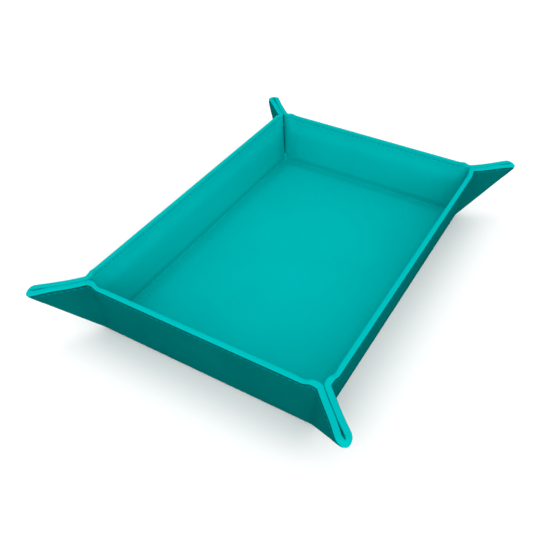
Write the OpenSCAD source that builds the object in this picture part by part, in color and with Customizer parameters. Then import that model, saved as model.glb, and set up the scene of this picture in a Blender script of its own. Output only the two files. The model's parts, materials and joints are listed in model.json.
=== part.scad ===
// A folding dice tray: an outer cover and a soft lining with flat boards between them.
// It folds flat. Set up, its four walls stand, and each corner is pinched into an ear
// that is held shut by a pair of hidden magnets.
// Frame: +X right, +Y back, +Z up, origin at the centre of the underside, set up for use.

/* [Tray] */
// Outer length over the front and back rims
rim_length = 210; // [180:1:300]
// Outer width over the left and right rims
rim_width = 142; // [130:1:220]
// Height of the rim above the table
rim_height = 35; // [32:0.5:42]
// Angle that the walls lean outwards from upright
wall_lean = 10; // [6:0.5:12]

/* [Sheets] */
// Thickness of the outer cover
cover_t = 0.8; // [0.6:0.1:1]
// Thickness of the lining with its foam backing
lining_t = 2.2; // [2:0.1:2.6]
// Radius of the rounded corners of the ears
tip_radius = 6.5; // [6:0.5:9]
// Gap between the two halves of a pinched ear
ear_slit = 1; // [0.8:0.1:1.6]

/* [Boards] */
// Thickness of the boards
board_t = 1.2; // [1:0.1:1.6]
// Distance of the base board's edges from the floor creases
base_board_inset = 8; // [6:0.5:12]
// Distance of the wall boards' lower edges from the floor creases
wall_board_foot = 6; // [5:0.5:8]
// Distance of the wall boards' upper edges from the rim
wall_board_head = 3; // [2:0.5:5]

/* [Magnets] */
// Diameter of the disc magnets
magnet_d = 10; // [8:0.5:10.5]
// Thickness of the disc magnets
magnet_t = 1.5; // [1:0.1:1.6]
// Distance of the magnets' centres below the rim
magnet_drop = 13.5; // [12:0.5:14]

/* [Stitching] */
// Distance of the top-stitching from the rim
stitch_inset = 1.9; // [1.5:0.1:2.5]
// Width of the thread and its groove
thread_w = 0.7; // [0.5:0.1:1]
// Thickness of the thread
thread_t = 0.3; // [0.2:0.05:0.4]

/* [Hidden] */
WALLS = ["front", "back", "left", "right"];
SIDES = [1, -1];
BASE_PARTS = ["cover", "board", "lining"];
WALL_PARTS = ["cover", "board", "lining", "thread"];
EAR_PARTS = ["cover", "magnet", "lining", "thread"];

cover_colour = [0.02, 0.38, 0.37];
lining_colour = [0.02, 0.66, 0.65];
board_colour = [0.55, 0.5, 0.43];
magnet_colour = [0.75, 0.76, 0.78];
thread_colour = [0.02, 0.32, 0.31];

crease_gap = 0.7;       // cover left out each side of a floor crease
root_gap = 0.5;         // sheets left out each side of an ear's root crease
tip_gap = 3.5;          // sheets left out each side of an ear's middle crease
ear_foot = 4;           // height up the wall at which an ear's panels start
lining_gap = 0.3;       // room between the mitred edges of two linings
board_side = 10;        // distance of a wall board's ends from the corner of the floor
magnet_gap = 0.1;       // room round a magnet
over = 1;               // how far a cutting shape runs past what it cuts
$fn = 96;

wall_fold = 90 - wall_lean;
wall_h = rim_height / cos(wall_lean);
splay = rim_height * tan(wall_lean);
floor_half = [rim_width / 2 - splay, rim_length / 2 - splay];
panel_t = cover_t + board_t + lining_t;
ear_t = cover_t + lining_t;
mitre = tan(wall_fold / 2);

// An ear half stands upright, beside the upright plane that halves the corner. Its root
// crease is the line in which its outer face meets the outer face of the leaning wall.
ear_offset = ear_t + ear_slit / 2;
root_start = -ear_offset * sqrt(2);
root_lean = atan(sin(wall_lean));
ear_fold = acos(cos(wall_lean) / sqrt(2));
magnet_at = [wall_h - magnet_drop, (wall_h - magnet_drop) * 0.36];

// The wall or corner that an ear of wall w leans to, on the wall's left hand (1) or right (-1)
function neighbour(w, s) =
    w == "front" ? (s > 0 ? "right" : "left") :
    w == "back" ? (s > 0 ? "left" : "right") :
    w == "left" ? (s > 0 ? "front" : "back") :
    (s > 0 ? "back" : "front");
function ear_name(w, s) = str(w, "_", neighbour(w, s), "_ear_");

function turn(w) = w == "right" ? 0 : w == "back" ? 90 : w == "left" ? 180 : 270;
function is_long(w) = w == "left" || w == "right";
function reach(w) = is_long(w) ? floor_half.x : floor_half.y;
function span(w) = is_long(w) ? floor_half.y : floor_half.x;

// Where the root crease is at height u up the wall, along it from the floor's corner
function root_at(u) = root_start + u * sin(wall_lean);

// A wall's own frame lies flat on its outer face: x up the wall, y along it, z inwards
module on_wall(w) {
    rotate([0, 0, turn(w)])
        translate([reach(w), 0, 0])
            rotate([0, -wall_fold, 0])
                children();
}

module flipped(s) {
    if (s < 0) {
        mirror([0, 1, 0]) children();
    } else {
        children();
    }
}

// An ear's own frame is the wall's frame, moved to the floor's corner and folded with the ear
module on_ear(w, s) {
    on_wall(w)
        flipped(s)
            translate([0, span(w) + root_start, 0])
                rotate([0, 0, root_lean])
                    rotate([-ear_fold, 0, 0])
                        rotate([0, 0, -root_lean])
                            translate([0, -root_start, 0])
                                children();
}

// A wall's outline between its root creases, stopping short of the rim by inset
module wall_outline(w, inset = 0, spread = 0) {
    foot = crease_gap - spread;
    head = wall_h - inset;
    low = span(w) + root_at(foot) - root_gap + spread;
    high = span(w) + root_at(head) - root_gap + spread;
    polygon([[foot, -low], [head, -high], [head, high], [foot, low]]);
}

// An ear's outline between its root crease, its middle crease and the sheet's rounded corner
module ear_outline(inset = 0, spread = 0) {
    foot = ear_foot - spread;
    head = wall_h - inset;
    centre = wall_h - tip_radius;
    middle = (tip_gap - spread) * sqrt(2);
    root = root_gap - spread;
    intersection() {
        polygon([
            [foot, root_at(foot) + root],
            [head, root_at(head) + root],
            [head, head - middle],
            [foot, foot - middle]
        ]);
        union() {
            translate([0, -wall_h]) square([head, wall_h + centre]);
            translate([centre, centre]) circle(tip_radius - inset);
        }
    }
}

// The top-stitching's path, as a band along the rim
module wall_stitch_band(w) {
    difference() {
        wall_outline(w, stitch_inset);
        wall_outline(w, stitch_inset + thread_w, over);
    }
}

module ear_stitch_band() {
    difference() {
        ear_outline(stitch_inset);
        ear_outline(stitch_inset + thread_w, over);
    }
}

module wall_board_shape(w) {
    half = span(w) - board_side;
    translate([wall_board_foot, -half, cover_t])
        cube([wall_h - wall_board_head - wall_board_foot, 2 * half, board_t]);
}

module base_board_shape() {
    half = floor_half - [base_board_inset, base_board_inset];
    translate([-half.x, -half.y, cover_t])
        cube([2 * half.x, 2 * half.y, board_t]);
}

// A long bar with the lining's section: one edge mitred, where x is the distance from the crease
module lining_bar(width, length) {
    rotate([90, 0, 0])
        linear_extrude(length, center = true)
            polygon([
                [lining_gap + cover_t * mitre, cover_t],
                [width, cover_t],
                [width, panel_t],
                [lining_gap + panel_t * mitre, panel_t]
            ]);
}

// The same with both edges mitred, centred on the floor
module floor_bar(half, length) {
    low = half - lining_gap - cover_t * mitre;
    high = half - lining_gap - panel_t * mitre;
    rotate([90, 0, 0])
        linear_extrude(length, center = true)
            polygon([[-low, cover_t], [low, cover_t], [high, panel_t], [-high, panel_t]]);
}

module base_cover() {
    half = floor_half - [crease_gap, crease_gap];
    color(cover_colour)
        translate([-half.x, -half.y, 0])
            cube([2 * half.x, 2 * half.y, cover_t]);
}

module base_board() {
    color(board_colour) base_board_shape();
}

module base_lining() {
    color(lining_colour)
        difference() {
            intersection() {
                floor_bar(floor_half.x, 2 * floor_half.y);
                rotate([0, 0, 90]) floor_bar(floor_half.y, 2 * floor_half.x);
            }
            base_board_shape();
        }
}

module wall_cover(w) {
    color(cover_colour)
        on_wall(w)
            difference() {
                linear_extrude(cover_t) wall_outline(w);
                translate([0, 0, -over])
                    linear_extrude(over + thread_t)
                        wall_stitch_band(w);
            }
}

module wall_board(w) {
    color(board_colour) on_wall(w) wall_board_shape(w);
}

module wall_lining(w) {
    color(lining_colour)
        on_wall(w)
            difference() {
                intersection() {
                    lining_bar(wall_h, 2 * span(w) + 2 * splay);
                    linear_extrude(panel_t) wall_outline(w);
                }
                wall_board_shape(w);
            }
}

module wall_thread(w) {
    color(thread_colour)
        on_wall(w)
            linear_extrude(thread_t)
                wall_stitch_band(w);
}

module ear_cover(w, s) {
    color(cover_colour)
        on_ear(w, s)
            difference() {
                linear_extrude(cover_t) ear_outline();
                translate([0, 0, -over])
                    linear_extrude(over + thread_t)
                        ear_stitch_band();
            }
}

module ear_magnet(w, s) {
    color(magnet_colour)
        on_ear(w, s)
            translate([magnet_at.x, magnet_at.y, cover_t])
                cylinder(d = magnet_d, h = magnet_t);
}

module ear_lining(w, s) {
    color(lining_colour)
        on_ear(w, s)
            difference() {
                translate([0, 0, cover_t])
                    linear_extrude(lining_t)
                        ear_outline();
                translate([magnet_at.x, magnet_at.y, cover_t - over])
                    cylinder(d = magnet_d + 2 * magnet_gap, h = over + magnet_t + magnet_gap);
            }
}

module ear_thread(w, s) {
    color(thread_colour)
        on_ear(w, s)
            linear_extrude(thread_t)
                ear_stitch_band();
}

base_cover();
base_board();
base_lining();
for (w = WALLS) {
    wall_cover(w);
    wall_board(w);
    wall_lining(w);
    wall_thread(w);
    for (s = SIDES) {
        ear_cover(w, s);
        ear_magnet(w, s);
        ear_lining(w, s);
        ear_thread(w, s);
    }
}
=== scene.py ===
"""The looks of a folding dice tray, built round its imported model.

Each sheet is made in sheet coordinates, in millimetres, and laid on the folded tray:
u runs up a wall from the floor crease (negative on the floor), v runs along the wall
(0 at the floor's corner, positive on the ear), and w rises off the cover's outer face.
Local points are x out from the floor crease, y past the floor's corner, and z up.
"""
import json
import math

import bmesh
import bpy
import numpy as np
from mathutils import Matrix, Vector


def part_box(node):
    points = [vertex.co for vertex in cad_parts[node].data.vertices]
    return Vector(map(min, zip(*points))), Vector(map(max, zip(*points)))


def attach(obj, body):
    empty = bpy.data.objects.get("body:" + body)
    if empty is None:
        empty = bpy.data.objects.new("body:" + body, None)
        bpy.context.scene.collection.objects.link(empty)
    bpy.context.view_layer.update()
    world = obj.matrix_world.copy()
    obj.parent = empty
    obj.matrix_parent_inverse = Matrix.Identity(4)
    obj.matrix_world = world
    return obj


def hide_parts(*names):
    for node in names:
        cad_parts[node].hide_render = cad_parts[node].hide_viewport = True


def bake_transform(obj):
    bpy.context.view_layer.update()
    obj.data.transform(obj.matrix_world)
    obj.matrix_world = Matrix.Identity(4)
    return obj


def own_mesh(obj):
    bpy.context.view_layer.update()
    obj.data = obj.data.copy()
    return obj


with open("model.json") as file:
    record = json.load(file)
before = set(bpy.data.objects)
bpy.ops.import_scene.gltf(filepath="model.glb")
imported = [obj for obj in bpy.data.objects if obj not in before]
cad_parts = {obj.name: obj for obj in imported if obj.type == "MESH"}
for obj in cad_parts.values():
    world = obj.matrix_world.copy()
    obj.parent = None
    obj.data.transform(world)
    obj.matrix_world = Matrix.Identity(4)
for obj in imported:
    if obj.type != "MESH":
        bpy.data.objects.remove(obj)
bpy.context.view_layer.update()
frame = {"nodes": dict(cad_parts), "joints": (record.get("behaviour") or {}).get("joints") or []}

MM = 0.001
ROOT_TWO = math.sqrt(2)
JOINTS = {joint["name"]: joint for joint in frame["joints"]}

# The tray's own sizes, from the frame's joints and boxes
WALL_FOLD = math.radians(JOINTS["right_wall_fold"]["range_deg"][1])
WALL_LEAN = math.pi / 2 - WALL_FOLD
FLOOR_X = JOINTS["right_wall_fold"]["pos_m"][0] / MM
FLOOR_Y = JOINTS["back_wall_fold"]["pos_m"][1] / MM
WALL_H = (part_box("right_wall_cover")[1].x / MM - FLOOR_X) / math.sin(WALL_LEAN)

# Thicknesses
COVER_T = 0.8
EAR_T = 3.0
PANEL_T = 4.2
EAR_OFFSET = EAR_T + 0.5      # outer face of an ear to the upright plane that halves the corner
LINING_FOOT = 0.9             # height of the lining's hidden face over the cover's outer face
BOARD_ROOM = 1.15             # how much higher it lies over a board
BASE_BOARD_IN = 8.0           # the base board's edge to the floor crease
WALL_BOARD_FOOT = 6.0         # a wall board's lower edge to the floor crease,
WALL_BOARD_HEAD = 3.0         # its upper edge to the rim
WALL_BOARD_SIDE = 10.0        # and its ends to the floor's corner
HEM_T = 0.24                  # how far the hem stands out

# The ear's root crease, where the outer faces of wall and ear meet
ROOT_START = -EAR_OFFSET * ROOT_TWO
ROOT_LEAN = math.atan(math.sin(WALL_LEAN))
EAR_FOLD = math.acos(math.cos(WALL_LEAN) / ROOT_TWO)

# Where one piece of a sheet hands over to the next
STRIP = 10.0                  # width of the strip of floor that goes with a wall
WALL_END = -14.0              # v at which the end of a wall is handed to its ear's piece
FOOT = 7.6                    # u above which the end of a wall goes with its ear's piece
EAR_FOOT = 6.2                # the same at the ear's own edge
FOLD_EDGE = 7.2               # distance from the middle crease at which an ear hands over to its fold
FOLD_END = 2.93               # the same at the middle of the fold, at rest
FOLD_START = -0.5             # distance up the middle crease at which the fold starts

# Soft shapes
OUTER_BEND = 2.6              # radius of the cover round the floor crease
CREASE_T = 3.5                # thickness at the floor crease
THIN_AT_RIM = 1.4             # how much thinner a wall gets towards the rim
CREASE_BEND = 0.8             # radius of the lining in the floor crease
FILL_START = -6.0             # where the lining bunched in the floor's corner starts and ends,
FILL_END = -1.9               # along the plane that halves the corner, from the corner
FILL_TOP = 3.35               # and its height
CORNER_BEND = 3.4             # radius of the cover round the floor's corner
CORNER_TOP = 5.2              # u at which the cover ends in the rounded part of that corner
CORNER_STILL = 2.5            # u up to which its rows of points stay level
ROOT_BENDS = (0.5, 3.0, 0.9)  # radius of the cover in the root crease: foot, between and rim
TIP_RADIUS = 5.2              # radius of the sheet's rounded corners
TIP_OPEN = 0.45               # how far the ear's halves part at the tip
TIP_FROM = 31                 # distance up the middle crease at which they start to part,
TIP_FULL = 44                 # and at which they have parted in full
SHOULDER_IN = 0.8             # how far a wall's end is drawn in at the rim
SHOULDER_REACH = 8            # how far from the root crease that starts and ends
SHOULDER_UP = 0.75            # how far the rim rises there
SHOULDER_AT = -3.6            # distance past the root crease at which it rises most
SHOULDER_WIDTH = 2.2          # half the width of the rise
TIP_UP = 1.3                  # how far the tip rises
HEM = 9.0                     # depth of the turned-in hem
STITCH_DROP = 1.9             # the stitching's distance below the rim
STITCH_PITCH = 3.2            # from one stitch to the next, about
STITCH_SLANT = 0.12           # how far a stitch's ends lie off the stitching's line
STITCH_SIZE = (2.35, 0.5, 0.42)             # length, width and height
STITCH_DEEP = 0.05            # how deep a stitch's centre lies under the cover's face
STITCH_GROOVE = 0.2           # depth of the groove that stitches press into the cover
DOT_DROP = 0.6                # how much lower the dots that stitches leave inside lie
DOT_SIZE = (1.0, 0.5, 0.3)    # length, width and height
DOT_UP = 0.02                 # height of a dot's centre off the lining's face
DOT_GROOVE = 0.22             # depth of the groove that dots press into the lining
TIP_STITCHES = (1.65, 4.9)    # distances of the tip's stitches from the middle of the fold
COVER_DROP = 1.25             # the cover's edge below the rim
COVER_BULGE = 0.5             # how far the cover's edge is rounded
LINING_BULGE = 0.6            # the same for the lining
EDGE_FULL = 0.7               # under 1, the rounding is fuller than a circle's
FLOOR_WAVE = 0.05             # height of the faint waves in the floor
MAGNET_U = WALL_H - 13.5      # where an ear's magnet lies
MAGNET_V = MAGNET_U * 0.36
MAGNET_SHOWS = 0.3            # how far it presses the cover out
MAGNET_EDGE = (3.8, 5.8)      # radii between which that falls away
MAGNET_CLEAR = (11, 15)       # u - v between which it fades in, clear of the fold

# Sizes for pieces round an ear's root, and shares of height meant for the folds when flat
EAR_REACH = 2.8               # how far either side of the root crease ear_bend works out its points
MID_ROOT = 20.0               # u of a point about halfway up the root crease
COVER_KEEP = 0.3              # share of its height that the cover's fold is meant to keep when flat
LINING_KEEP = 0.6             # the same for the lining's

# Camera and light, in metres but for the lens
CAMERA_TURNS = (30.43, 40.483, 0.202)       # azimuth, elevation and roll, in degrees
CAMERA_AIM = (-0.01512, -0.01022, 0)
CAMERA_AWAY = 0.41487
CAMERA_LENS = 46.97           # in millimetres
HORIZON_LIGHT = 1.4           # strength of the light all round, at the horizon
OVERHEAD_LIGHT = 0.88         # and overhead
LIGHTS = {                    # place, diameter and watts
    "key": ((-0.35, 0.4, 1.3), 0.9, 2.5),
    "fill": ((0.6, -0.9, 0.55), 0.8, 5.0),
}
FLOOR_SIZE = 4.0              # half its width
FLOOR_DROP = 0.00005          # the floor lies this far under the tray, so that they don't flicker

TURNS = {"right": 0, "back": 90, "left": 180, "front": 270}
REACH = {"right": FLOOR_X, "left": FLOOR_X, "back": FLOOR_Y, "front": FLOOR_Y}
SPAN = {"right": FLOOR_Y, "left": FLOOR_Y, "back": FLOOR_X, "front": FLOOR_X}
NEIGHBOURS = {
    ("right", 1): "back", ("back", 1): "left", ("left", 1): "front", ("front", 1): "right",
    ("right", -1): "front", ("back", -1): "right", ("left", -1): "back", ("front", -1): "left",
}


def smooth(x, low, high):
    """0 below low, 1 above high, and a smooth step between."""
    t = np.clip((x - low) / (high - low), 0, 1)
    return t * t * (3 - 2 * t)


# ---------- materials ----------

def new_material(name, colour, roughness):
    """A material, its nodes and links, and its main shader."""
    material = bpy.data.materials.new(name)
    material.use_nodes = True
    nodes = material.node_tree.nodes
    shader = nodes["Principled BSDF"]
    shader.inputs["Base Color"].default_value = (*colour, 1)
    shader.inputs["Roughness"].default_value = roughness
    material.diffuse_color = (*colour, 1)
    return material, nodes, material.node_tree.links, shader


def noise(nodes, links, scale, detail=3.0, stretch=(1, 1, 1)):
    """A noise texture in object space, in which a metre is a metre."""
    place = nodes.new("ShaderNodeTexCoord")
    mapping = nodes.new("ShaderNodeMapping")
    mapping.inputs["Scale"].default_value = stretch
    links.new(place.outputs["Object"], mapping.inputs["Vector"])
    texture = nodes.new("ShaderNodeTexNoise")
    texture.inputs["Scale"].default_value = scale
    texture.inputs["Detail"].default_value = detail
    links.new(mapping.outputs["Vector"], texture.inputs["Vector"])
    return texture


def vary_colour(nodes, links, shader, texture, dark, light):
    """Runs the base colour from dark to light over a texture."""
    ramp = nodes.new("ShaderNodeValToRGB")
    ramp.color_ramp.elements[0].position = 0.3
    ramp.color_ramp.elements[0].color = (*dark, 1)
    ramp.color_ramp.elements[1].position = 0.7
    ramp.color_ramp.elements[1].color = (*light, 1)
    links.new(texture.outputs["Fac"], ramp.inputs["Fac"])
    links.new(ramp.outputs["Color"], shader.inputs["Base Color"])


def add_bump(nodes, links, shader, texture, output, strength, distance):
    """Adds a bump over any that the shader has already."""
    bump = nodes.new("ShaderNodeBump")
    bump.inputs["Strength"].default_value = strength
    bump.inputs["Distance"].default_value = distance
    links.new(texture.outputs[output], bump.inputs["Height"])
    if shader.inputs["Normal"].is_linked:
        links.new(shader.inputs["Normal"].links[0].from_node.outputs["Normal"], bump.inputs["Normal"])
    links.new(bump.outputs["Normal"], shader.inputs["Normal"])


def cover_material():
    """Fine-grained artificial leather."""
    made, nodes, links, shader = new_material("cover_leather", (0.0, 0.109, 0.106), 0.62)
    shader.inputs["Specular IOR Level"].default_value = 0.0
    vary_colour(nodes, links, shader, noise(nodes, links, 45), (0.0, 0.102, 0.099), (0.0, 0.117, 0.113))
    grain = nodes.new("ShaderNodeTexVoronoi")
    grain.inputs["Scale"].default_value = 1500
    place = nodes.new("ShaderNodeTexCoord")
    links.new(place.outputs["Object"], grain.inputs["Vector"])
    add_bump(nodes, links, shader, grain, "Distance", 0.22, 0.00012)
    add_bump(nodes, links, shader, noise(nodes, links, 160, 4), "Fac", 0.25, 0.00025)
    return made


def lining_material():
    """Matte microfibre with a short pile."""
    made, nodes, links, shader = new_material("lining_microfibre", (0.0, 0.395, 0.392), 0.95)
    shader.inputs["Specular IOR Level"].default_value = 0.0
    shader.inputs["Sheen Weight"].default_value = 0.03
    shader.inputs["Sheen Roughness"].default_value = 0.5
    shader.inputs["Sheen Tint"].default_value = (0.0, 0.8, 0.78, 1)
    vary_colour(nodes, links, shader, noise(nodes, links, 30, 5), (0.0, 0.385, 0.382), (0.0, 0.405, 0.402))
    add_bump(nodes, links, shader, noise(nodes, links, 2600, 2), "Fac", 0.35, 0.00015)
    add_bump(nodes, links, shader, noise(nodes, links, 220, 3), "Fac", 0.12, 0.0003)
    return made


def thread_material():
    """Twisted polyester thread."""
    made, nodes, links, shader = new_material("sewing_thread", (0.0, 0.17, 0.162), 0.7)
    shader.inputs["Specular IOR Level"].default_value = 0.0
    vary_colour(nodes, links, shader, noise(nodes, links, 900), (0.0, 0.17, 0.163), (0.0, 0.24, 0.23))
    twist = noise(nodes, links, 900, 1, (1, 1, 5))
    add_bump(nodes, links, shader, twist, "Fac", 0.5, 0.0001)
    return made


def board_material():
    """Raw grey board."""
    made, nodes, links, shader = new_material("grey_board", (0.27, 0.22, 0.16), 0.9)
    vary_colour(nodes, links, shader, noise(nodes, links, 400, 4), (0.2, 0.17, 0.12), (0.33, 0.28, 0.21))
    add_bump(nodes, links, shader, noise(nodes, links, 900, 3, (1, 6, 1)), "Fac", 0.4, 0.0002)
    return made


def magnet_material():
    """Nickel plate with fine scuffs."""
    made, nodes, links, shader = new_material("nickel_plate", (0.56, 0.55, 0.53), 0.25)
    shader.inputs["Metallic"].default_value = 1
    vary_colour(nodes, links, shader, noise(nodes, links, 300, 5), (0.48, 0.47, 0.45), (0.62, 0.61, 0.6))
    add_bump(nodes, links, shader, noise(nodes, links, 1500, 2, (1, 12, 1)), "Fac", 0.15, 0.0001)
    return made


COVER = cover_material()
LINING = lining_material()
THREAD = thread_material()
BOARD = board_material()
MAGNET = magnet_material()


# ---------- meshes ----------

def to_frame(wall, side, local):
    """Local points of a wall's end, side 1 or -1, in metres in the row frame."""
    local = np.asarray(local, float)
    x = REACH[wall] + local[..., 0]
    y = side * (SPAN[wall] + local[..., 1])
    turn = math.radians(TURNS[wall])
    world_x = x * math.cos(turn) - y * math.sin(turn)
    world_y = x * math.sin(turn) + y * math.cos(turn)
    return np.stack([world_x, world_y, local[..., 2]], axis=-1) * MM


def add_mesh(name, points, faces, material, sharp=40):
    """An object from points and faces. Its normals point out, and edges past the angle stay sharp."""
    mesh = bpy.data.meshes.new(name)
    mesh.from_pydata([tuple(p) for p in points], [], faces)
    work = bmesh.new()
    work.from_mesh(mesh)
    bmesh.ops.remove_doubles(work, verts=work.verts, dist=2e-6)
    bmesh.ops.dissolve_degenerate(work, dist=1e-7, edges=work.edges)
    bmesh.ops.recalc_face_normals(work, faces=work.faces)
    work.to_mesh(mesh)
    work.free()
    mesh.shade_smooth()
    mesh.set_sharp_from_angle(angle=math.radians(sharp))
    mesh.materials.append(material)
    made = bpy.data.objects.new(name, mesh)
    bpy.context.scene.collection.objects.link(made)
    return made


def quads(columns, rows, offset, flip=False):
    """The faces of a grid of points that are stored column by column."""
    made = []
    for j in range(columns - 1):
        for i in range(rows - 1):
            a = offset + j * rows + i
            face = (a, a + rows, a + rows + 1, a + 1)
            made.append(face[::-1] if flip else face)
    return made


def add_solid(name, front, back, material):
    """A closed sheet between two grids of points, each columns x rows x 3."""
    columns, rows = front.shape[:2]
    half = columns * rows
    faces = quads(columns, rows, 0) + quads(columns, rows, half, True)
    for j in range(columns - 1):
        for i in (0, rows - 1):
            a = j * rows + i
            faces.append((a, a + half, a + half + rows, a + rows))
    for i in range(rows - 1):
        for j in (0, columns - 1):
            a = j * rows + i
            faces.append((a, a + 1, a + half + 1, a + half))
    points = np.concatenate([front.reshape(-1, 3), back.reshape(-1, 3)])
    return add_mesh(name, points, faces, material)


# ---------- how the sheets lie ----------

def fold_floor(u, w, radius):
    """A section's points, out and up, where the sheet bends up from the floor into a wall."""
    run = radius * math.tan(WALL_FOLD / 2)
    turn = np.clip((u + run) / (2 * run), 0, 1) * WALL_FOLD
    floor = np.minimum(u + run, 0)
    wall = np.maximum(u - run, 0)
    out = floor - run + (radius - w) * np.sin(turn) + wall * math.cos(WALL_FOLD)
    up = radius - (radius - w) * np.cos(turn) + wall * math.sin(WALL_FOLD)
    return out, up


def on_wall(u, v, w):
    """Local points of a wall's sheet, above its bend."""
    out = u * math.cos(WALL_FOLD) - w * math.sin(WALL_FOLD)
    up = u * math.sin(WALL_FOLD) + w * math.cos(WALL_FOLD)
    return np.stack(np.broadcast_arrays(out, v, up), axis=-1)


def root_at(u):
    """v of the ear's root crease at u."""
    return ROOT_START + u * math.tan(ROOT_LEAN)


def past_root(u, v):
    """Distance past the root crease, square to it."""
    return (v - root_at(u)) * math.cos(ROOT_LEAN)


def root_bend(u):
    """Radius of the cover in the root crease: tight at the foot and at the rim, soft between."""
    foot, between, rim = ROOT_BENDS
    soften = (between - foot) * smooth(u, 8, 18)
    return foot + soften - (between - rim) * smooth(u, WALL_H - 9, WALL_H - 1)


def rim_rise(u, v):
    """How far the sheet is drawn up at a shoulder and at a tip."""
    hump = np.exp(-((past_root(u, v) - SHOULDER_AT) / SHOULDER_WIDTH) ** 2)
    shoulder = SHOULDER_UP * hump * smooth(u, WALL_H - 12, WALL_H)
    return shoulder + TIP_UP * smooth(v, 2, 26) * np.clip(u / WALL_H, 0, 1) ** 3


def from_root(u, v, across, rise):
    """Local points from a place along the root crease, and the distances across it and off the wall."""
    along = u * math.cos(ROOT_LEAN) + (v - ROOT_START) * math.sin(ROOT_LEAN)
    up_wall = along * math.cos(ROOT_LEAN) - across * math.sin(ROOT_LEAN)
    along_wall = ROOT_START + along * math.sin(ROOT_LEAN) + across * math.cos(ROOT_LEAN)
    return on_wall(up_wall, along_wall, rise)


def over_ear(u, v, height):
    """Local points at a height over the plane of an ear's outer face."""
    d = past_root(u, v)
    across = d * math.cos(EAR_FOLD) + height * math.sin(EAR_FOLD)
    off = -d * math.sin(EAR_FOLD) + height * math.cos(EAR_FOLD)
    return from_root(u, v, across, off)


def tip_part(u, v):
    """How far an ear's halves stand apart, beyond the slit between them, near the tip."""
    up_crease = (u + v) / ROOT_TWO
    off_crease = (u - v) / ROOT_TWO
    return TIP_OPEN * smooth(up_crease, TIP_FROM, TIP_FULL) * (1 - smooth(off_crease, 7, 15))


def on_ear(u, v, w):
    """Local points of a wall's end and its ear, with the soft bend between them."""
    w = w - tip_part(u, v)
    d = past_root(u, v)
    radius = root_bend(u)
    run = radius * math.tan(EAR_FOLD / 2)
    turn = np.clip((d + run) / (2 * run), 0, 1) * EAR_FOLD
    wall = np.minimum(d + run, 0)
    ear = np.maximum(d - run, 0)
    across = wall - run + (radius + w) * np.sin(turn) + ear * math.cos(EAR_FOLD)
    off = -radius + (radius + w) * np.cos(turn) - ear * math.sin(EAR_FOLD)
    draw = SHOULDER_IN / math.sin(EAR_FOLD) * smooth(u, 8, WALL_H)
    draw = draw * smooth(d, -SHOULDER_REACH, -2) * (1 - smooth(d, 0, SHOULDER_REACH))
    across = across - draw * math.cos(EAR_FOLD)
    off = off + draw * math.sin(EAR_FOLD)
    return from_root(u + rim_rise(u, v), v, across, off)


def on_fold(up_crease, off_crease, w):
    """Local points of the fold that joins an ear's halves, up to the plane between them."""
    part = TIP_OPEN * smooth(up_crease, TIP_FROM, TIP_FULL)
    radius = EAR_OFFSET + part
    centre = FOLD_END + radius
    turn = np.clip((centre - off_crease) / radius, 0, 1) * math.pi / 2
    off = np.maximum(off_crease, centre) - (radius - np.maximum(w, 0)) * np.sin(turn)
    height = radius - part - (radius - w) * np.cos(turn)
    rise = rim_rise((up_crease + off_crease) / ROOT_TWO, (up_crease - off_crease) / ROOT_TWO)
    off = off - rise / ROOT_TWO * smooth(FOLD_EDGE - off_crease, 0, FOLD_EDGE - FOLD_END)
    u = (up_crease + off) / ROOT_TWO + rise
    v = (up_crease - off) / ROOT_TWO
    return over_ear(u, v, height)


def on_corner(u, w, along, radius, rounding):
    """Local points of the floor's corner. along runs from 0 at WALL_END to 1 where the corner's
    rounding starts, and to 2 at the plane that halves the corner."""
    out, up = fold_floor(u, w, radius)
    start = out - rounding
    straight = WALL_END + np.clip(along, 0, 1) * (start - WALL_END)
    turn = np.clip(along - 1, 0, 1) * math.pi / 4
    x = start + rounding * np.cos(turn)
    y = straight + rounding * np.sin(turn)
    return np.stack(np.broadcast_arrays(x, y, up), axis=-1)


# ---------- the sheets' faces ----------

def lining_face(u, v):
    """Height of the lining's face over the cover's outer face."""
    x = -u
    floor = 0.6 * smooth(x, 2.5, 11)
    floor = floor + 0.08 * smooth(x, BASE_BOARD_IN - 0.3, BASE_BOARD_IN + 0.6)
    past = past_root(u, v)
    on_this_wall = 1 - smooth(past, -7, 0)
    rise = np.clip((u - 3.2) / 2.8, 0, 1)
    board = 0.3 * smooth(u, WALL_BOARD_FOOT - 0.8, WALL_BOARD_FOOT + 0.8)
    board = board * (1 - smooth(v, -WALL_BOARD_SIDE - 1.5, -WALL_BOARD_SIDE + 2))
    thin = THIN_AT_RIM * smooth(u, WALL_H - 13, WALL_H - 4)
    groove = DOT_GROOVE * np.exp(-((WALL_H - u - STITCH_DROP - DOT_DROP) / 0.4) ** 2)
    wall = (0.6 * rise + board - thin) * on_this_wall - 0.12 * rise - groove
    return CREASE_T + np.where(u < 0, floor, wall)


def lining_back(u, v):
    """Height of the lining's hidden face, over the boards or the cover."""
    head = WALL_H - WALL_BOARD_HEAD
    board = smooth(u, WALL_BOARD_FOOT - 1, WALL_BOARD_FOOT) * (1 - smooth(u, head, head + 1))
    board = board * (1 - smooth(v, -WALL_BOARD_SIDE, -WALL_BOARD_SIDE + 1))
    floor = smooth(-u, BASE_BOARD_IN - 1, BASE_BOARD_IN)
    lip = 0.6 * smooth(u, WALL_H - 1.15, WALL_H - 0.8)
    return LINING_FOOT + BOARD_ROOM * np.where(u < 0, floor, board) - lip


def cover_face(u, v):
    """Height of the cover's outer face: the hem stands out, the stitching sinks in, magnets show."""
    h = WALL_H - u
    hem = HEM_T * (1 - smooth(h, HEM - 0.5, HEM + 0.4))
    groove = STITCH_GROOVE * np.exp(-((h - STITCH_DROP) / 0.42) ** 2)
    away = np.hypot(u - MAGNET_U, v - MAGNET_V)
    magnet = MAGNET_SHOWS * (1 - smooth(away, *MAGNET_EDGE)) * smooth(u - v, *MAGNET_CLEAR)
    return groove - hem - magnet


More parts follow.
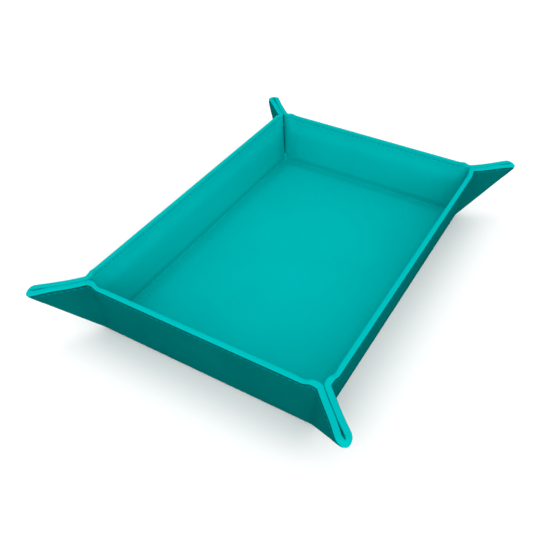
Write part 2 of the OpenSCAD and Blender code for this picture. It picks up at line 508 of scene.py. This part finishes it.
ROUND = np.radians(np.linspace(0, 90, 9))

# Depths below the rim of the rows of points in the shaped upper part of a sheet
COVER_H = np.array([1.77, 1.8, 1.9, 2.05, 2.2, 2.4, 2.8, 3.5, 4.5, 5.8, 7, 8,
                    8.5, 8.75, 9, 9.25, 9.5, 10, 11])
LINING_H = np.array([0.7, 0.8, 0.9, 1.0, 1.1, 1.2, 1.4, 1.6, 1.9, 2.1, 2.3, 2.5,
                     2.7, 2.9, 3.1, 3.4, 3.8, 4.4, 5.2, 6.5, 8, 9.5, 11])
LOW_ROWS = 14                 # rows below those, on an ear and its fold


def edge_rows(drop, bulge):
    """Depths of the rows that round an edge, and the share of the half thickness at each."""
    return drop + bulge * (1 - np.cos(ROUND) ** EDGE_FULL), np.sin(ROUND) ** EDGE_FULL


def section_heights(front, back, share):
    """Both faces' heights, drawn together to the middle where share is under 1."""
    middle = (front + back) / 2
    return middle + (front - middle) * share, middle + (back - middle) * share


# What differs between the two sheets. drop and bulge shape the edge, tongue is how far the fold runs
# on below its start, tuck is how far the fold's hidden face closes up, squash_to is the height over
# the ear's outer face towards which the fold is meant to flatten, and keep is the share it is meant not to
# lose.
KINDS = {
    "cover": {
        "drop": COVER_DROP, "bulge": COVER_BULGE, "rows": COVER_H, "material": COVER,
        "front": cover_face, "back": lambda u, v: COVER_T + 0 * u,
        "front_bend": OUTER_BEND, "back_bend": OUTER_BEND,
        "tongue": 1.2, "tuck": 0.0, "squash_to": 0.0, "keep": COVER_KEEP,
    },
    "lining": {
        "drop": 0.0, "bulge": LINING_BULGE, "rows": LINING_H, "material": LINING,
        "front": lining_face, "back": lining_back,
        "front_bend": CREASE_T + CREASE_BEND, "back_bend": OUTER_BEND,
        "tongue": 2.4, "tuck": 0.75, "squash_to": EAR_T, "keep": LINING_KEEP,
    },
}


def top_rows(kind):
    """Depths below the rim and thickness shares of a kind's upper rows, from the edge down."""
    depth, share = edge_rows(kind["drop"], kind["bulge"])
    return np.concatenate([depth, kind["rows"]]), np.concatenate([share, np.ones(len(kind["rows"]))])


def all_rows(kind):
    """The same and the rows below, with how far down to the foot each row is."""
    depth, share = top_rows(kind)
    top = len(depth)
    depth = np.concatenate([depth, np.full(LOW_ROWS, depth[-1])])[None, :]
    share = np.concatenate([share, np.ones(LOW_ROWS)])[None, :]
    down = np.concatenate([np.zeros(top), np.linspace(0, 1, LOW_ROWS + 1)[1:]])[None, :]
    return depth, share, down


# u of a wall piece's rows below the shaped upper part, down to the edge of its strip of floor
LOW_U = np.concatenate([
    np.linspace(WALL_H - 13, 9.5, 7), [FOOT], np.linspace(7.0, 3.5, 8), np.linspace(3.2, -3.2, 17),
    np.linspace(-3.7, -7.4, 5), np.linspace(-7.7, -8.7, 5), [-9.3, -STRIP],
])


def wall_piece(name, wall, kind):
    """A wall's sheet between its ears' pieces, with the strip of floor at its foot."""
    depth, share = top_rows(kind)
    u = np.concatenate([WALL_H - depth, LOW_U])[None, :]
    share = np.concatenate([share, np.ones(len(LOW_U))])[None, :]
    half = SPAN[wall] + WALL_END
    y = np.linspace(-half, half, int(half / 1.6))[:, None]
    v = np.abs(y) - SPAN[wall]
    front, back = section_heights(kind["front"](u, v), kind["back"](u, v), share)
    faces = []
    for w, bend in ((front, kind["front_bend"]), (back, kind["back_bend"])):
        out, up = fold_floor(u, w, bend)
        local = np.stack(np.broadcast_arrays(out, y - SPAN[wall], up), axis=-1)
        faces.append(to_frame(wall, 1, local))
    return add_solid(name, *faces, kind["material"])


def corner_piece(name, wall, side, kind):
    """The foot of a wall's end and half of the floor's corner."""
    u = LOW_U[LOW_U <= FOOT][None, :]
    along = np.concatenate([np.linspace(0, 1, 8), np.linspace(1, 2, 9)[1:]])[:, None]
    cover = kind["material"] is COVER
    if cover:
        top = FOOT - (FOOT - CORNER_TOP) * smooth(along, 1.0, 1.6)
        lower = CORNER_STILL + (u - CORNER_STILL) * (top - CORNER_STILL) / (FOOT - CORNER_STILL)
        u = np.where(u > CORNER_STILL, lower, u)
    faces = []
    for height, bend in ((kind["front"], kind["front_bend"]), (kind["back"], kind["back_bend"])):
        w = height(u + 0 * along, WALL_END + 0 * u)
        if not cover:
            w = height(u + 0 * along, WALL_END + along * -WALL_END / 2)
        out, _ = fold_floor(u, w, bend)
        if cover:
            rounding = np.clip(CORNER_BEND + np.minimum(out, 0), 0.01, CORNER_BEND)
        else:
            rounding = 0.02 + 1.2 * smooth(u, -3.0, 3.0) + 0 * out
        faces.append(to_frame(wall, side, on_corner(u, w, along, bend, rounding)))
    return add_solid(name, *faces, kind["material"])


def ear_piece(name, wall, side, kind):
    """The upper part of a wall's end, and its ear up to the fold."""
    depth, share, down = all_rows(kind)
    stretches = [np.linspace(0, 1, 20), np.linspace(1, 2, 13)[1:], np.linspace(2, 3, 20)[1:]]
    part = np.concatenate(stretches)[:, None]
    foot = FOOT - (FOOT - EAR_FOOT) * smooth(part, 2, 2.6)
    u = WALL_H - depth
    u = u + down * (foot - u)
    run = root_bend(u) * math.tan(EAR_FOLD / 2) / math.cos(ROOT_LEAN)
    v = WALL_END + np.clip(part, 0, 1) * (root_at(u) - run - WALL_END)
    v = v + np.clip(part - 1, 0, 1) * 2 * run
    v = v + np.clip(part - 2, 0, 1) * (u - FOLD_EDGE * ROOT_TWO - root_at(u) - run)
    front, back = section_heights(kind["front"](u, v), kind["back"](u, v), share)
    faces = [to_frame(wall, side, on_ear(u, v, w)) for w in (front, back)]
    return add_solid(name, *faces, kind["material"])


def rim_on_crease(off_crease):
    """Distance up the middle crease at which the rim lies, and the slant of the rim there."""
    off = np.clip((off_crease - FOLD_END) / TIP_RADIUS, 0, 1 / ROOT_TWO)
    centre = ROOT_TWO * WALL_H - FOLD_END - ROOT_TWO * TIP_RADIUS
    curved = centre + TIP_RADIUS * np.sqrt(1 - off ** 2)
    straight = FOLD_END + TIP_RADIUS / ROOT_TWO - off_crease
    return curved + np.minimum(straight, 0), np.sqrt(1 - off ** 2)


def fold_piece(name, wall, side, kind):
    """Half of the fold that joins an ear's halves."""
    depth, share, down = all_rows(kind)
    off = np.linspace(FOLD_EDGE, FOLD_END, 19)[:, None]
    rim, slant = rim_on_crease(off)
    up = rim - depth / slant
    near_end = 1 - np.clip((off - FOLD_END) / 3.0, 0, 1)
    up = up + down * (FOLD_START - kind["tongue"] * near_end - up)
    u = WALL_H - depth + down * (FOOT - WALL_H + depth)
    v = u - FOLD_EDGE * ROOT_TWO
    tuck = kind["tuck"] * smooth(FOLD_END + 1.2 - off, 0, 1.2)
    hidden = kind["back"](u, v)
    hidden = np.maximum(hidden - tuck, np.minimum(hidden, 0.15))
    front, back = section_heights(kind["front"](u, v), hidden, share)
    faces = [to_frame(wall, side, on_fold(up, off, w)) for w in (front, back)]
    return add_solid(name, *faces, kind["material"])


def base_piece(name, kind):
    """The floor's sheet between the walls' strips."""
    x = np.linspace(STRIP - FLOOR_X, FLOOR_X - STRIP, 45)[:, None]
    y = np.linspace(STRIP - FLOOR_Y, FLOOR_Y - STRIP, 67)[None, :]
    edge = smooth(FLOOR_X - STRIP - np.abs(x), 0, 6) * smooth(FLOOR_Y - STRIP - np.abs(y), 0, 6)
    soft = FLOOR_WAVE * edge * (np.sin(x / 7 + y / 19) + np.sin(y / 11 - x / 23))
    if kind["material"] is COVER:
        heights = (0.06 * edge + 0.5 * soft, COVER_T + 0 * soft)
    else:
        heights = (PANEL_T - 0.05 * edge + soft, LINING_FOOT + BOARD_ROOM + 0 * soft)
    faces = [np.stack(np.broadcast_arrays(x, y, z), axis=-1) * MM for z in heights]
    return add_solid(name, *faces, kind["material"])


def corner_fill(name, right, back):
    """The lining bunched in the floor's corner. It is buried until the walls are laid flat."""
    reach = np.linspace(FILL_START, FILL_END, 15)[:, None]
    across = np.linspace(-1, 1, 9)[None, :]
    half = 0.55 + 0.45 * smooth(reach, -5.5, -2.5)
    deep = 0.2 + 1.5 * np.sin(math.pi * (reach - FILL_START) / (FILL_END - FILL_START)) ** 0.6
    top = FILL_TOP - 0.1 * across ** 2 + 0 * reach
    bottom = FILL_TOP - 0.15 - deep * (1 - np.abs(across)) ** 0.9
    x = right * (FLOOR_X + (reach + half * across) / ROOT_TWO)
    y = back * (FLOOR_Y + (reach - half * across) / ROOT_TWO)
    faces = [np.stack(np.broadcast_arrays(x, y, z), axis=-1) * MM for z in (top, bottom)]
    return add_solid(name, *faces, LINING)


# ---------- stitching ----------

def stitch(centre, along, off, length, width, height):
    """A plump stitch's points and faces, along a direction on a face whose normal is off."""
    along = along / np.linalg.norm(along)
    side = np.cross(along, off)
    side = side / np.linalg.norm(side)
    off = np.cross(side, along)
    t = np.linspace(-1, 1, 7)[:, None]
    plump = (1 - np.abs(t) ** 3.5) ** 0.5
    turn = np.linspace(0, 2 * math.pi, 9)[None, :-1]
    points = (
        centre
        + (t * length / 2 + 0 * turn)[..., None] * along
        + (plump * np.cos(turn) * width / 2)[..., None] * side
        + (plump * np.sin(turn) * height / 2)[..., None] * off
    ).reshape(-1, 3)
    faces = []
    for i in range(6):
        for k in range(8):
            faces.append((i * 8 + k, i * 8 + (k + 1) % 8, i * 8 + 8 + (k + 1) % 8, i * 8 + 8 + k))
    return points, faces


def add_stitches(name, wall, side, places):
    """One mesh of stitches. A place is a stitch's two ends, a point off the face, and its size."""
    points, faces = [], []
    for before, after, lifted, length, width, height in places:
        ends = to_frame(wall, side, np.array([before, after, lifted])) / MM
        centre = (ends[0] + ends[1]) / 2
        p, f = stitch(centre, ends[1] - ends[0], ends[2] - centre, length, width, height)
        faces += [tuple(k + len(points) for k in face) for face in f]
        points += list(p * MM)
    return add_mesh(name, points, faces, THREAD, 80)


def stitch_places(lay, centres):
    """Stitches outside, and the dots that they leave inside.

    lay(t, drop, inside, lift) gives a local point.
    """
    places = []
    outer = (False, STITCH_DROP, STITCH_SLANT, STITCH_SIZE)
    inner = (True, STITCH_DROP + DOT_DROP, 0, DOT_SIZE)
    for t in centres:
        for inside, drop, slant, size in (outer, inner):
            reach = size[0] / 2
            before = lay(t - reach, drop + slant, inside, 0)
            after = lay(t + reach, drop - slant, inside, 0)
            lifted = lay(t, drop, inside, 1)
            places.append((before, after, lifted, *size))
    return places


def stitch_height(u, v, inside, lift):
    """Height of a stitch's centre, or of a point lifted off the face over it."""
    if inside:
        return lining_face(u, v) + DOT_UP + lift
    return cover_face(u, v) + STITCH_DEEP - lift


def wall_lay(span):
    """How stitches lie along a wall, by distance from the wall's middle."""
    def lay(y, drop, inside, lift):
        u = WALL_H - drop
        v = abs(y) - span
        return on_wall(np.float64(u), np.float64(y - span), stitch_height(u, v, inside, lift))
    return lay


def ear_lay(v, drop, inside, lift):
    """How stitches lie along a wall's end and its ear, by v."""
    u = np.float64(WALL_H - drop)
    return on_ear(u, np.float64(v), stitch_height(u, v, inside, lift))


def fold_lay(t, drop, inside, lift):
    """How stitches lie round the fold, by distance from its middle along the cover's outer face."""
    radius = EAR_OFFSET + TIP_OPEN
    bend = radius * math.pi / 2
    off = FOLD_END + (t / bend * radius if t < bend else radius + t - bend)
    rim, slant = rim_on_crease(np.float64(off))
    w = STITCH_GROOVE - HEM_T + STITCH_DEEP - lift
    if inside:
        w = EAR_T - 0.2 + DOT_UP + lift
    return on_fold(rim - drop / slant, off, w)


def spaced(low, high):
    """Evenly spaced places about a stitch's pitch apart, half a pitch in from each end."""
    count = max(1, round((high - low) / STITCH_PITCH))
    pitch = (high - low) / count
    return [low + (k + 0.5) * pitch for k in range(count)]


# ---------- putting the sheets on the frame ----------

def wall_bend(made):
    """Bakes a piece's transform into its mesh."""
    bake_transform(made)


def ear_bend(made):
    """Works out two points across the root crease, and bakes a piece's transform into its mesh."""
    across = EAR_REACH * math.cos(EAR_FOLD / 2)
    off = EAR_REACH * math.sin(EAR_FOLD / 2)
    local = [from_root(MID_ROOT, root_at(MID_ROOT), k * across, -k * off) for k in (-1, 1)]
    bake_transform(made)


def ear_squash(made, ear, height):
    """Rides a piece of the fold on its ear, with a mesh of its own."""
    v = root_at(MID_ROOT) + 10.0
    foot = over_ear(MID_ROOT, v, height)
    top = over_ear(MID_ROOT, v, height + 1)
    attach(made, ear)
    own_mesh(made)


def declare(kind_name):
    """Does nothing, whatever the kind."""
    if kind_name == "lining":
        return


for kind_name, kind in KINDS.items():
    base = base_piece(f"base_{kind_name}_skin", kind)
    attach(base, "base")
    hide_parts(f"base_{kind_name}")
    declare(kind_name)
    for wall in TURNS:
        made = wall_piece(f"{wall}_wall_{kind_name}_skin", wall, kind)
        wall_bend(made)
        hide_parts(f"{wall}_wall_{kind_name}")
        declare(kind_name)
        for side in (1, -1):
            ear = f"{wall}_{NEIGHBOURS[wall, side]}_ear"
            skin = ear_piece(f"{ear}_{kind_name}_skin", wall, side, kind)
            ear_bend(skin)
            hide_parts(f"{ear}_{kind_name}")
            declare(kind_name)
            fold = fold_piece(f"{ear}_{kind_name}_fold", wall, side, kind)
            ear_squash(fold, ear, kind["squash_to"])
            declare(kind_name)
            corner = corner_piece(f"{ear}_{kind_name}_corner", wall, side, kind)
            wall_bend(corner)
            declare(kind_name)

for y_name, back in (("front", -1), ("back", 1)):
    for x_name, right in (("left", -1), ("right", 1)):
        made = corner_fill(f"{y_name}_{x_name}_corner_lining_fill", right, back)
        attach(made, "base")
        declare("lining")

for wall in TURNS:
    half = SPAN[wall] + WALL_END
    places = stitch_places(wall_lay(SPAN[wall]), spaced(-half, half))
    made = add_stitches(f"{wall}_wall_thread_stitches", wall, 1, places)
    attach(made, f"{wall}_wall")
    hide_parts(f"{wall}_wall_thread")
    for side in (1, -1):
        ear = f"{wall}_{NEIGHBOURS[wall, side]}_ear"
        last = WALL_H - STITCH_DROP - FOLD_EDGE * ROOT_TWO
        places = stitch_places(ear_lay, spaced(WALL_END, last))
        made = add_stitches(f"{ear}_thread_stitches", wall, side, places)
        ear_bend(made)
        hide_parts(f"{ear}_thread")
        tip = add_stitches(f"{ear}_thread_tip", wall, side, stitch_places(fold_lay, TIP_STITCHES))
        ear_squash(tip, ear, KINDS["cover"]["squash_to"])

for name, node in frame["nodes"].items():
    if name.endswith("_board") or name.endswith("_magnet"):
        node.data.materials.clear()
        node.data.materials.append(BOARD if name.endswith("_board") else MAGNET)


# ---------- camera, floor and light ----------

def add_camera():
    """The camera, aimed at a point on the floor."""
    azimuth, elevation, roll = (math.radians(x) for x in CAMERA_TURNS)
    back = Vector((
        math.sin(azimuth) * math.cos(elevation),
        -math.cos(azimuth) * math.cos(elevation),
        math.sin(elevation),
    ))
    right = (-back).cross(Vector((0, 0, 1))).normalized()
    up = right.cross(-back)
    across = right * math.cos(roll) + up * math.sin(roll)
    upward = up * math.cos(roll) - right * math.sin(roll)
    place = Vector(CAMERA_AIM) + back * CAMERA_AWAY
    data = bpy.data.cameras.new("camera")
    data.lens = CAMERA_LENS
    data.sensor_width = 36
    data.clip_start = 0.01
    made = bpy.data.objects.new("camera", data)
    made.matrix_world = Matrix((
        (across.x, upward.x, back.x, place.x),
        (across.y, upward.y, back.y, place.y),
        (across.z, upward.z, back.z, place.z),
        (0, 0, 0, 1),
    ))
    bpy.context.scene.collection.objects.link(made)
    bpy.context.scene.camera = made


def add_light(name, place, size, power):
    """A round soft light, aimed at the middle of the tray's underside."""
    data = bpy.data.lights.new(name, "AREA")
    data.shape = "DISK"
    data.size = size
    data.energy = power
    made = bpy.data.objects.new(name, data)
    made.location = place
    made.rotation_euler = (-Vector(place)).to_track_quat("-Z", "Y").to_euler()
    bpy.context.scene.collection.objects.link(made)


def add_floor():
    """A plain pale floor."""
    material, _, _, shader = new_material("pale_floor", (0.95, 0.95, 0.95), 0.9)
    shader.inputs["Specular IOR Level"].default_value = 0.0
    corners = ((-1, -1), (1, -1), (1, 1), (-1, 1))
    points = [(x * FLOOR_SIZE, y * FLOOR_SIZE, -FLOOR_DROP) for x, y in corners]
    mesh = bpy.data.meshes.new("floor")
    mesh.from_pydata(points, [], [(0, 1, 2, 3)])
    mesh.materials.append(material)
    made = bpy.data.objects.new("floor", mesh)
    bpy.context.scene.collection.objects.link(made)


def add_world():
    """White light all round, brighter near the horizon than overhead."""
    world = bpy.data.worlds.new("studio")
    world.use_nodes = True
    nodes, links = world.node_tree.nodes, world.node_tree.links
    place = nodes.new("ShaderNodeTexCoord")
    split = nodes.new("ShaderNodeSeparateXYZ")
    links.new(place.outputs["Generated"], split.inputs["Vector"])
    level = nodes.new("ShaderNodeMapRange")
    level.inputs["To Min"].default_value = HORIZON_LIGHT
    level.inputs["To Max"].default_value = OVERHEAD_LIGHT
    links.new(split.outputs["Z"], level.inputs["Value"])
    links.new(level.outputs["Result"], nodes["Background"].inputs["Strength"])
    nodes["Background"].inputs["Color"].default_value = (1, 1, 1, 1)
    bpy.context.scene.world = world


add_camera()
add_floor()
add_world()
for name, (place, size, power) in LIGHTS.items():
    add_light(name, place, size, power)
bpy.context.scene.view_settings.view_transform = "Standard"
